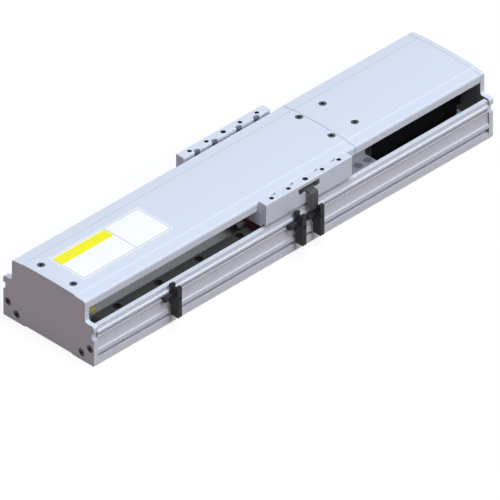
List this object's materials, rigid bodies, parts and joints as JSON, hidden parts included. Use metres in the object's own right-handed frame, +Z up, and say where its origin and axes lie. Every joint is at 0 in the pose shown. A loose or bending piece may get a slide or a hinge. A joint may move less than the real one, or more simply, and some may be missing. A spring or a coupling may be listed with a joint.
{
  "type": "belt driven linear axis",
  "caption": "Covered linear axis: a carriage with two raised wings rides on rails in an aluminium base, pulled by a toothed belt from an in-line motor.",
  "frame": {"origin": "on the plane of the base feet, at mid length over the end plates and mid width of the base", "axes": "+X along the axis towards the motor, +Z up, +Y across, away from the side with the sensors"},
  "size_m": [0.594, 0.1489, 0.079],
  "materials": {
    "anodised_plate": "satin natural anodised",
    "anodised_profile": "satin natural anodised",
    "cast_housing": "matt machined",
    "rail_steel": "dark oiled",
    "bright_steel": "bright zinc",
    "black_screw": "black oxide",
    "block_steel": "ground",
    "gear_steel": "cut and hardened",
    "pulley_metal": "machined",
    "belt_rubber": "matt black",
    "bumper_yellow": "satin yellow polyurethane",
    "cap_red": "dark red moulded",
    "motor_black": "black powder coat",
    "flag_black": "black coated sheet",
    "sensor_black": "black moulded"
  },
  "bodies": {
    "base": {"base_profile": "anodised_profile", "left_end_plate": "anodised_plate", "right_end_plate": "anodised_plate", "left_plate_screws": "black_screw", "right_plate_screws": "black_screw", "main_cover": "anodised_plate", "motor_cover": "anodised_plate", "cover_screws": "black_screw", "front_rail": "rail_steel", "back_rail": "rail_steel", "rail_screws": "black_screw", "idler_housing": "cast_housing", "idler_housing_screws": "bright_steel", "tension_screws": "black_screw", "idler_bearings": "bright_steel", "end_bumpers": "bumper_yellow", "drive_housing": "cast_housing", "drive_housing_screws": "bright_steel", "drive_bearings": "bright_steel", "motor_flange": "cast_housing", "motor_body": "motor_black", "encoder_cap": "motor_black", "motor_screws": "bright_steel", "drive_belt": "belt_rubber", "left_sensor": "sensor_black", "middle_sensor": "sensor_black", "right_sensor": "sensor_black", "sensor_screws": "black_screw", "sensor_slot_nuts": "bright_steel"},
    "carriage_unit": {"carriage": "anodised_plate", "belt_clamp": "pulley_metal", "clamp_screws": "black_screw", "front_left_block": "block_steel", "front_right_block": "block_steel", "back_left_block": "block_steel", "back_right_block": "block_steel", "block_end_caps": "cap_red", "block_screws": "black_screw", "stop_studs": "bright_steel", "sensor_flag": "flag_black", "flag_screws": "black_screw"},
    "drive_rotor": {"drive_shaft": "bright_steel", "drive_pulley": "pulley_metal", "bevel_wheel": "gear_steel"},
    "idler_rotor": {"idler_shaft": "bright_steel", "idler_pulley": "pulley_metal"},
    "motor_rotor": {"motor_shaft": "bright_steel", "bevel_pinion": "gear_steel"}
  },
  "joints": [
    {"name": "carriage_slide", "type": "slide", "parent": "base", "child": "carriage_unit", "axis": [1, 0, 0], "range_m": [-0.2135, 0.005]},
    {"name": "drive_pulley_turn", "type": "hinge", "parent": "base", "child": "drive_rotor", "pos_m": [0.117, 0, 0.0451], "axis": [0, 1, 0], "range_deg": [-975, 30]},
    {"name": "idler_pulley_turn", "type": "hinge", "parent": "base", "child": "idler_rotor", "pos_m": [-0.2732, 0, 0.0451], "axis": [0, 1, 0], "range_deg": [-975, 30]},
    {"name": "motor_shaft_turn", "type": "hinge", "parent": "base", "child": "motor_rotor", "pos_m": [0.15, 0, 0.0451], "axis": [1, 0, 0], "range_deg": [-40, 1300]}
  ],
  "couplings": [
    {"joint": "drive_pulley_turn", "follows": "carriage_slide", "rad_per_m": 78.54},
    {"joint": "idler_pulley_turn", "follows": "carriage_slide", "rad_per_m": 78.54},
    {"joint": "motor_shaft_turn", "follows": "carriage_slide", "rad_per_m": -104.72}
  ]
}
